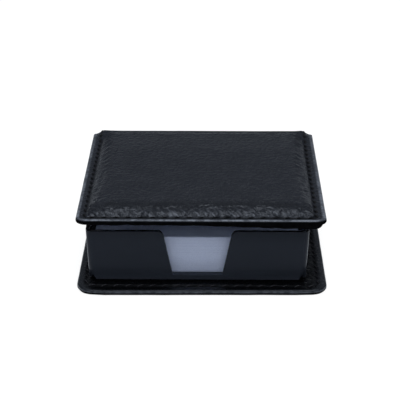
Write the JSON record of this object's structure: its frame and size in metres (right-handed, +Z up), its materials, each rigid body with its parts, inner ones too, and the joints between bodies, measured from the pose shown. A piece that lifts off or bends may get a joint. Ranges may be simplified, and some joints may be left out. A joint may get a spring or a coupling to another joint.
{
  "type": "desk memo box with calendar lid",
  "caption": "Leather-covered desk memo box: a tray with a finger notch holds memo sheets under a padded lid that folds back and carries a calendar card in a clear pocket.",
  "frame": {"origin": "on the desk, under the middle of the closed box's bounding box", "axes": "+X to the right as seen from the notch, +Y from the notched front to the spine, +Z up"},
  "size_m": [0.1084, 0.1114, 0.0378],
  "materials": {
    "leather": "black imitation leather, fine pebble grain, satin",
    "lining": "black imitation leather, finer grain, matt",
    "greyboard": "raw greyboard",
    "foam": "open-cell polyurethane foam",
    "thread": "twisted polyester sewing thread",
    "tray_plastic": "black moulded polystyrene, satin",
    "tape": "double-sided tape",
    "memo_paper": "white writing paper",
    "calendar_paper": "coated card with a printed grey ground",
    "clear_pvc": "clear soft PVC sheet"
  },
  "bodies": {
    "base": {"base_cover": "leather", "base_board": "greyboard", "base_lining": "lining", "base_thread": "thread", "tray": "tray_plastic", "tray_tape_front": "tape", "tray_tape_back": "tape", "memo_sheets": "memo_paper", "lower_fold": "leather"},
    "spine": {"spine_cover": "leather", "spine_board": "greyboard", "spine_lining": "lining", "spine_thread_left": "thread", "spine_thread_right": "thread", "upper_fold": "leather"},
    "lid": {"lid_cover": "leather", "lid_board": "greyboard", "lid_lining": "lining", "lid_thread": "thread", "lid_foam": "foam", "calendar_pocket": "clear_pvc"},
    "calendar": {"calendar_card": "calendar_paper"}
  },
  "joints": [
    {"name": "spine_hinge", "type": "hinge", "parent": "base", "child": "spine", "pos_m": [0, 0.05412, 0.0012], "axis": [-1, 0, 0], "range_deg": [0, 84], "deforming": ["lower_fold"]},
    {"name": "lid_hinge", "type": "hinge", "parent": "spine", "child": "lid", "pos_m": [0, 0.05395, 0.03343], "axis": [-1, 0, 0], "range_deg": [0, 96], "deforming": ["upper_fold"]},
    {"name": "calendar_slide", "type": "slide", "parent": "lid", "child": "calendar", "axis": [1, 0, 0], "range_m": [0, 0.07]}
  ]
}
